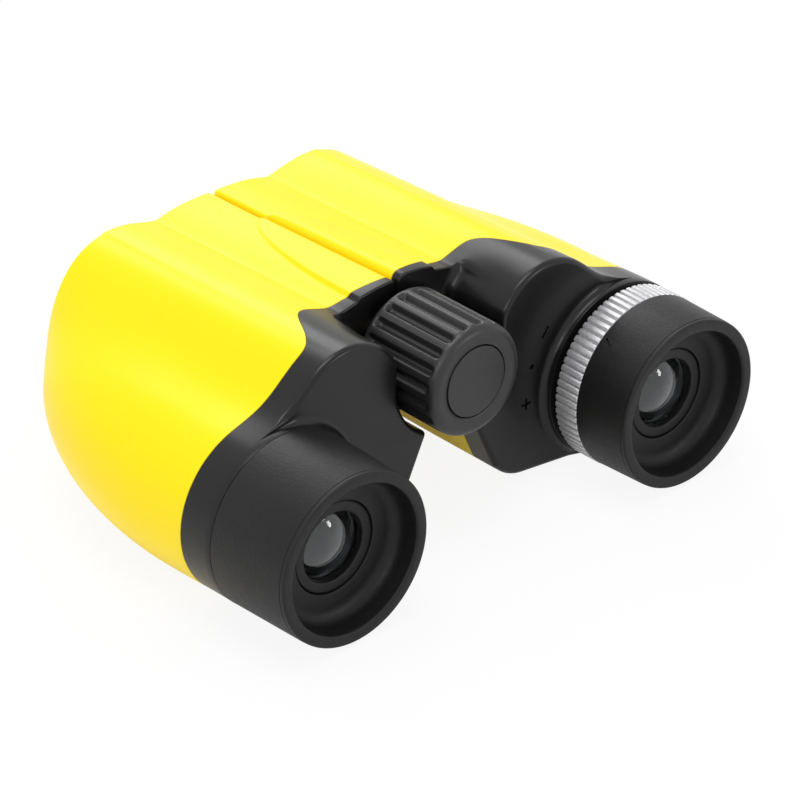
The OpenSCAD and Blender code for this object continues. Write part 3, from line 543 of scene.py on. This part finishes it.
for side, label, lift in ((-1, "left", left_lift), (1, "right", right_lift)):
    name = label + "_rear_housing"
    parting = parting_line(lift) - part_gap
    face = section_ring(level_ring(rear_y), lift, past=past_bayed)
    room = np.hypot(face[:, 0] - eye_at[0], face[:, 2] - eye_at[1]) - collar_r
    edge = rim_edge * eased(room / rim_clear)
    rings = []
    for t in rounding(11):
        rings.append(section_ring(rear_y + edge * (1 - math.sin(t)), lift, edge * (1 - math.cos(t)),
                                  past=past_bayed))
    # The hollow ends in a fillet at the lug where it is deep and fades out where it is shallow.
    stop = np.minimum(bay_y, parting - lug_least)
    hollow = section_ring(stop, lift) - section_ring(stop, lift, past=past_bayed)
    fall = np.hypot(hollow[:, 0], hollow[:, 2])
    deep = eased((fall - deep_from) / deep_over)
    for t in np.linspace(0, 1, 25)[1:]:
        y = between(rear_y + edge, stop - step_gap, t)
        ring = section_ring(y, lift, past=past_bayed)
        step = section_ring(y, lift) - ring
        long = np.maximum(np.linalg.norm(step, axis=1), tiny)
        u = np.clip((y - stop + lug_fillet) / lug_fillet, 0, 1)
        swell = lug_fillet * (1 - np.sqrt(1 - u * u))
        fading = eased((y - stop + shallow_l) / shallow_l)
        share = between(fading, np.minimum(swell / long, most_share),
                        eased((fall - shallow_from) / shallow_over))
        rings.append(ring + step * share[:, None])
    for t in rounding(8):
        ahead = lug_edge * deep * (1 - math.sin(t)) + ring_gap * (1 - 2 * t / math.pi)
        rings.append(section_ring(stop + ahead, lift, lug_edge * deep * (1 - math.cos(t))))
    rings.append(section_ring(parting - hem, lift))
    rings.append(section_ring(parting, lift, hem))
    rings.append(section_ring(parting, lift, wall + lip_play, zone_r))
    rings.append(section_ring(parting + lip_l, lift, wall + lip_play, zone_r))
    mesh = skin_mesh(name, rings, side, hub=core, merge=False)
    # The collar flares into the rear face where there is room for its fillet.
    a = np.linspace(0, 2 * math.pi, 288, endpoint=False)
    x, _, z = circle(eye_at, collar_r + hem, rear_y, a).T
    flare = np.clip(-past_bayed(x, z, rear_y, lift) - flare_margin, 0, collar_fillet)
    flare = (flare + np.roll(flare, 1) + np.roll(flare, -1)) / 3
    collar = [
        (sleeve_bore, rear_y + sleeve_root), (sleeve_bore, sleeve_y), (sleeve_r - sleeve_edge, sleeve_y),
        (sleeve_r, sleeve_y + sleeve_edge), (sleeve_r, collar_y), (collar_r - collar_edge, collar_y),
        (collar_r - collar_bevel, collar_y + collar_bevel), (collar_r, collar_y + collar_edge)]
    for t in rounding(9)[::-1]:
        collar.append((collar_r + flare * (1 - math.cos(t)), rear_y + flare_gap - flare * (1 - math.sin(t))))
    collar.append((collar_r - collar_root + flare, rear_y + collar_root))
    collar_mesh = skin_mesh("collar", [circle(eye_at, r, y, a) for r, y in collar], side, looped=True)
    steps = [("DIFFERENCE", rod(side * eye_at[0], eye_at[1], sleeve_bore, *sleeve_bore_y)),
             ("DIFFERENCE", rod(0, hinge_h, lug_bore_r, *lug_bore_y))]
    # Setting marks beside the right eyepiece: a bar, a dot and a cross, pressed into the face.
    if side > 0:
        for bearing, bars in marks:
            ends = ((bearing, rear_y - mark_start), (bearing, rear_y + mark_depth))
            steps += [("DIFFERENCE", mark_tool(ends, mark_r, *bar)) for bar in bars]
    piece(name, together(name, worked(mesh, *steps), collar_mesh), label + "_half", black)


# Eyecups: soft black rubber cups pushed over the sleeves, fine grained outside, with a rolled rim
# and a deep recess round the lens. The right one is shorter and turns with the setting ring.
cup_rim_r, cup_line_y, cup_line_depth = 13.95, (0.78, 0.82), 0.1
cup_step, cup_step_y = (0.03, 0.05), (0.86, 0.95)
recess_r, recess_y, web_y, cup_hole_r = 12.0, 4.7, 6.0, 7.48
left_cup_end, left_cup_r, left_cup_fit = 15.56, 14.38, 0.03
right_cup_end, right_cup_r = 10.0, 14.27
index_ends, index_r, index_w, index_depth = ((132.6, 7.7), (129.2, 9.3)), 14.25, 0.4, 0.84
rubber_deep, rubber_pale, pore_w = (0.005, 0.005, 0.0053), (0.010, 0.010, 0.0104), 0.55


def rounded(corners, steps=6):
    """A profile of radius and station with its corners rounded: (r, y, radius) each."""
    out = []
    count = len(corners)
    for i, (r, y, radius) in enumerate(corners):
        here = np.array((r, y), float)
        before = np.array(corners[i - 1][:2], float) - here
        after = np.array(corners[(i + 1) % count][:2], float) - here
        if radius <= 0:
            out.append(here)
            continue
        one, two = before / np.linalg.norm(before), after / np.linalg.norm(after)
        angle = math.acos(np.clip(one @ two, -1, 1))
        run = min(radius / math.tan(angle / 2), 0.49 * min(np.linalg.norm(before), np.linalg.norm(after)))
        radius = run * math.tan(angle / 2)
        middle = (one + two) / np.linalg.norm(one + two)
        centre = here + middle * radius / math.sin(angle / 2)
        start, end = here + one * run - centre, here + two * run - centre
        sweep = math.atan2(start[0] * end[1] - start[1] * end[0], start @ end)
        for k in range(steps + 1):
            t = sweep * k / steps
            out.append(centre + np.array((start[0] * math.cos(t) - start[1] * math.sin(t),
                                          start[0] * math.sin(t) + start[1] * math.cos(t))))
    return np.array(out)


def turned(name, at, profile, count=192):
    """A closed profile turned about an axis along the barrels."""
    a = np.linspace(0, 2 * math.pi, count, endpoint=False)
    return skin_mesh(name, [circle(at, r, y, a) for r, y in profile], looped=True)


def cup(name, at, end, end_r, skirt_r):
    """A cup turned from the line below its rim, along the outside and back through the recess."""
    return turned(name, at, rounded([
        (cup_rim_r + cup_step[0], cup_step_y[0], 0.03), (cup_rim_r + cup_step[1], cup_step_y[1], 0.03),
        (end_r, end, 0.08), (skirt_r, end, 0.1), (skirt_r, web_y, 0.1), (cup_hole_r, web_y, 0),
        (cup_hole_r, recess_y, 0.2), (recess_r, recess_y, 2.1), (recess_r, 0, 0.5), (cup_rim_r, 0, 0.75),
        (cup_rim_r, cup_line_y[0], 0.03), (cup_rim_r - cup_line_depth, cup_line_y[1], 0.02)]), 256)


rubber, shader, place = new_finish("grained_rubber")
feed(noise(place, 11.0, 3.0).mix(rubber_deep, rubber_pale), shader, "Base Color")
feed(0.4 + 0.14 * noise(place, 1.1, 3.0), shader, "Roughness")
shader.inputs["Specular IOR Level"].default_value = 0.27
pores = place.add("ShaderNodeTexVoronoi", {"feature": "F1"}, {"Vector": place, "Scale": 1000 / pore_w})
grain = 0.6 * noise(place, 0.4, 3.0, 0.65) + 0.5 * pores
feed(bump(place, grain, 0.06, 0.6), shader, "Normal")

left_cup = cup("left_eyecup", eye_at * (-1, 1), left_cup_end, left_cup_r, sleeve_r + left_cup_fit)
piece("left_eyecup", left_cup, "left_half", rubber, sharp=50)
right_cup = cup("right_eyecup", eye_at, right_cup_end, right_cup_r, sleeve_r + running_fit)
right_cup = worked(right_cup, ("DIFFERENCE", mark_tool(index_ends, index_r, index_w, index_depth)))
piece("right_eyecup", right_cup, "diopter", rubber, sharp=50)


# Setting ring: a satin silver ring between the right eyecup and its housing, with close ribs parted
# by narrow grooves. It is fixed to the eyecup and turns it on the sleeve.
ring_r, ring_y, rib_count, rib_depth, rib_swell, rib_power = 14.35, (10.03, 14.6), 72, 0.5, 1.45, 0.9
ring_edge = ((0.0, 0.2, 0.8), (0.05, 0.06, 0.95), (0.16, 0.0, 1.0))
silver_dull, silver_bright = (0.40, 0.40, 0.41), (0.74, 0.74, 0.75)
a = np.linspace(0, 2 * math.pi, rib_count * 14, endpoint=False)
groove = 1 - np.clip(np.abs(np.sin(a * rib_count / 2)) * rib_swell, 0, 1) ** rib_power
ring_line = [(ring_y[0] + inset, drop, keep) for inset, drop, keep in ring_edge]
ring_line += [(ring_y[1] - inset, drop, keep) for inset, drop, keep in reversed(ring_edge)]
rings = [circle(eye_at, ring_r - drop - rib_depth * groove * keep, y, a) for y, drop, keep in ring_line]
rings += [circle(eye_at, sleeve_r + running_fit, y, a) for y in reversed(ring_y)]
silver, shader, place = new_finish("satin_silver")
sparkle = noise(place, 0.4, 4.0, 0.7)
feed(sparkle.mix(silver_dull, silver_bright), shader, "Base Color")
feed(0.38 + 0.2 * noise(place, 0.4, 3.0), shader, "Roughness")
shader.inputs["Metallic"].default_value = 0.65
feed(bump(place, sparkle, 0.04, 0.4), shader, "Normal")
ring_mesh = skin_mesh("diopter_ring", rings, looped=True)
piece("diopter_ring", ring_mesh, "diopter", silver, sharp=60)


# Lens tubes and eye lenses: matt black tubes in the sleeves, whose rear ends show as bezels in the
# eyecups. Each holds a polished bent lens, a spacer, a field lens of dark tinted glass and a retainer;
# the tint is painted shade that darkens the view into the eyepieces.
tube_r, tube_bore, tube_end = 8.72, 6.6, 20.3
bezel_r, bezel_y, sight_r, seat_y = 7.4, 4.9, 5.65, 5.9
eye_lens_r, eye_lens_end, eye_land = 6.59, 8.3, 0.05
eye_dome, eye_crown, eye_thick, eye_open, pole_r = 8.0, 4.3, 1.4, 5.5, 0.001
inner_deep, inner_pale = (0.004, 0.004, 0.0042), (0.008, 0.008, 0.0084)
glass_deep, glass_pale = (0.86, 0.90, 0.93), (0.92, 0.95, 0.97)
# Tint of the field lenses: painted shade, a dark grey glass that darkens what is seen through them.
shade_glass_deep, shade_glass_pale = (0.16, 0.17, 0.18), (0.22, 0.23, 0.24)


def dress(finish, *nodes):
    """Gives CAD nodes that are shown as they are their finish."""
    for node in nodes:
        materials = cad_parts[node].data.materials
        materials.clear()
        materials.append(finish)


inner_black, shader, place = new_finish("matt_inner_black")
feed(noise(place, 6.0, 3.0).mix(inner_deep, inner_pale), shader, "Base Color")
feed(0.4 + 0.15 * noise(place, 0.8, 3.0), shader, "Roughness")
shader.inputs["Specular IOR Level"].default_value = 0.3
feed(bump(place, noise(place, 1.6), 0.02, 0.12), shader, "Normal")
glass, shader, place = new_finish("coated_glass")
feed(noise(place, 18.0, 1.0).mix(glass_deep, glass_pale), shader, "Base Color")
feed(0.003 + 0.002 * noise(place, 8.0, 1.0), shader, "Roughness")
shader.inputs["Transmission Weight"].default_value = 1.0
shader.inputs["IOR"].default_value = 1.5
# The field lens glass is tinted dark and barely reflects: painted shade in the view through the eyepieces.
shade_darkened_glass, shader, place = new_finish("painted_shade_glass")
feed(noise(place, 18.0, 1.0).mix(shade_glass_deep, shade_glass_pale), shader, "Base Color")
feed(0.002 + 0.002 * noise(place, 3.0), shader, "Roughness")
shader.inputs["Transmission Weight"].default_value = 1.0
shader.inputs["IOR"].default_value = 1.06

tube = rounded([
    (bezel_r, bezel_y, 0.35), (bezel_r, sleeve_y, 0), (tube_r, sleeve_y, 0.1), (tube_r, tube_end, 0.1),
    (tube_bore, tube_end, 0.1), (tube_bore, seat_y, 0), (sight_r, seat_y, 0), (sight_r, bezel_y, 0.3)])
radii = np.linspace(pole_r, eye_open, 48)
sag = eye_crown + eye_dome - np.sqrt(eye_dome ** 2 - radii ** 2)
eye_lens = list(zip(radii, sag))
eye_lens += [(eye_open + eye_land, seat_y), (eye_lens_r, seat_y), (eye_lens_r, eye_lens_end)]
eye_lens += list(zip(radii, sag + eye_thick))[::-1]
for side, label, body in ((-1, "left", "left_half"), (1, "right", "right_eyepiece")):
    at = eye_at * (side, 1)
    piece(label + "_lens_tube", turned("tube", at, tube), body, inner_black)
    piece(label + "_eye_lens", turned("lens", at, eye_lens), body, glass)
    dress(inner_black, label + "_lens_spacer", label + "_lens_retainer")
    dress(shade_darkened_glass, label + "_field_lens")


# Objectives: sliding black cells in guide tubes behind the front rings, each with a domed lens
# held by a retaining ring. The front ring is pushed into the tube and trims the shell's hole.
trim_bore, trim_r, trim_y, flange_r, flange_end = 8.6, 9.4, 69.6, 10.6, 73.4
front_lens_y, front_lens_curve = (62.7, 65.7), 30.0
trim = rounded([
    (trim_bore, trim_y, 0.15), (trim_r, trim_y, 0.1), (trim_r, front_y, 0), (flange_r, front_y, 0.05),
    (flange_r, flange_end, 0.35), (trim_bore, flange_end, 0.25)])


def domed(r, y0, y1, curve):
    """Profile of a lens with a flat rear face and a domed front one."""
    radii = np.linspace(pole_r, r, 40)
    rise = np.sqrt(curve ** 2 - radii ** 2) - math.sqrt(curve ** 2 - r ** 2)
    return [(pole_r, y0), (r, y0)] + list(zip(radii, y1 + rise))[::-1]


for side, label in ((-1, "left"), (1, "right")):
    at = objective_at * (side, 1)
    piece(label + "_front_bezel", turned("bezel", at, trim), label + "_half", inner_black)
    low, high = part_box(label + "_objective_lens")
    lens = domed((high.x - low.x) / 2 * 1000, *front_lens_y, front_lens_curve)
    piece(label + "_objective_lens", turned("lens", at, lens), label + "_carriage", glass)
    dress(inner_black, label + "_objective_tube", label + "_objective_cell", label + "_objective_retainer")


# Prisms: two polished right-angle prisms in each half on a black shelf, under bent steel clips,
# with the shelf held by two screws.
steel_dull, steel_bright = (0.50, 0.51, 0.52), (0.62, 0.63, 0.64)
prism_deep, prism_pale = (0.90, 0.93, 0.94), (0.95, 0.97, 0.98)


def tool_lines(place, scale, waver):
    """Fine lines left round a turned piece by the cutting tool."""
    return place.add("ShaderNodeTexWave", {"wave_type": "BANDS", "bands_direction": "Y"},
                     {"Vector": place, "Scale": scale, "Distortion": waver, "Detail": 2.0})


steel, shader, place = new_finish("turned_steel")
feed(tool_lines(place, 1400.0, 2.0).mix(steel_dull, steel_bright), shader, "Base Color")
feed(0.28 + 0.12 * noise(place, 1.0, 3.0), shader, "Roughness")
shader.inputs["Metallic"].default_value = 1.0
prism_glass, shader, place = new_finish("prism_glass")
feed(noise(place, 20.0, 1.0).mix(prism_deep, prism_pale), shader, "Base Color")
feed(0.002 + 0.002 * noise(place, 6.0), shader, "Roughness")
shader.inputs["Transmission Weight"].default_value = 1.0
for label in ("left", "right"):
    dress(inner_black, label + "_prism_shelf")
    dress(prism_glass, label + "_rear_prism", label + "_front_prism")
    dress(steel, label + "_prism_clips", label + "_shelf_screws")


# Hinge: a hollow steel shaft through the rear knuckles, kept by a clip, and a headed pin through
# the front ones.
dress(steel, "hinge_shaft", "hinge_clip", "front_hinge_pin")


# Focus wheel: a satin black moulded wheel with twenty rounded ridges between closed flutes, and a
# flat cap pressed into its rear face. It turns the brass focus screw.
knob_r, knob_y, knob_end, shoulder, front_round = 9.15, 11.2, 27.6, 1.6, 0.5
flutes, flute_depth, flute_y, flute_fade, fluted_r = 20, 0.85, (12.2, 26.9), (1.2, 0.8), 8.0
ridge_share, flank_share, ridge_sag = 0.3, 0.55, 0.16
grip_y, screw_bore, bore_end, axis_r = (12.9, 27.05), 1.98, 18.6, 0.01
seat_r, seat_floor, cap_r, cap_y, cap_end = 5.9, 12.4, 5.75, 11.4, 12.38
wheel_deep, wheel_pale = (0.012, 0.012, 0.0125), (0.019, 0.019, 0.0195)
wheel_black, shader, place = new_finish("wheel_black")
feed(noise(place, 7.0, 3.0).mix(wheel_deep, wheel_pale), shader, "Base Color")
feed(0.28 + 0.14 * noise(place, 1.5, 4.0), shader, "Roughness")
shader.inputs["Specular IOR Level"].default_value = 0.45
feed(bump(place, noise(place, 0.4, 4.0, 0.7), 0.05, 0.7), shader, "Normal")

# The profile runs from the cap's seat over the face and the shoulder, along the grip to the front
# and back down the bore of the screw.
profile = [(seat_r, seat_floor), (seat_r, 11.62), (5.98, 11.48), (6.15, 11.41), (6.6, 11.3), (7.1, 11.22),
           (7.4, knob_y)]
for t in np.radians(np.linspace(84, 0, 13)):
    profile.append((knob_r - shoulder * (1 - math.cos(t)), knob_y + shoulder * (1 - math.sin(t))))
profile += [(knob_r, y) for y in np.linspace(*grip_y, 90)]
for t in np.radians(np.linspace(15, 90, 6)):
    profile.append((knob_r - front_round * (1 - math.cos(t)), knob_end - front_round * (1 - math.sin(t))))
profile += [(screw_bore, knob_end), (screw_bore, bore_end), (axis_r, bore_end), (axis_r, seat_floor)]
a = np.linspace(0, 2 * math.pi, flutes * 36, endpoint=False)
turn = np.abs((a * flutes / (2 * math.pi) + 0.5) % 1 - 0.5) * 2
groove = eased((turn - ridge_share) / flank_share) + ridge_sag * turn ** 2
rings = []
for r, y in profile:
    ends = eased((y - flute_y[0]) / flute_fade[0]) * eased((flute_y[1] - y) / flute_fade[1])
    depth = flute_depth * groove * ends if r > fluted_r else 0
    rings.append(circle((0, hinge_h), r - depth, y, a))
knob = skin_mesh("knob", rings, looped=True)
piece("focus_knob", knob, "focus_wheel", wheel_black, sharp=50)
cap = rounded([(axis_r, cap_y, 0), (cap_r, cap_y, 0.15), (cap_r, cap_end, 0), (axis_r, cap_end, 0)])
piece("knob_cap", turned("cap", (0, hinge_h), cap), "focus_wheel", wheel_black)


# Focus drive: a brass screw in the wheel, a nut with the left arm and a second arm on the nut, kept
# by a steel clip, which draw both objective cells along their tubes.
brass_dull, brass_bright = (0.58, 0.42, 0.16), (0.72, 0.55, 0.26)
brass, shader, place = new_finish("turned_brass")
feed(tool_lines(place, 1100.0, 1.5).mix(brass_dull, brass_bright), shader, "Base Color")
feed(0.3 + 0.12 * noise(place, 1.2, 3.0), shader, "Roughness")
shader.inputs["Metallic"].default_value = 1.0
dress(brass, "focus_screw", "focus_nut", "right_focus_arm")
dress(steel, "nut_clip")
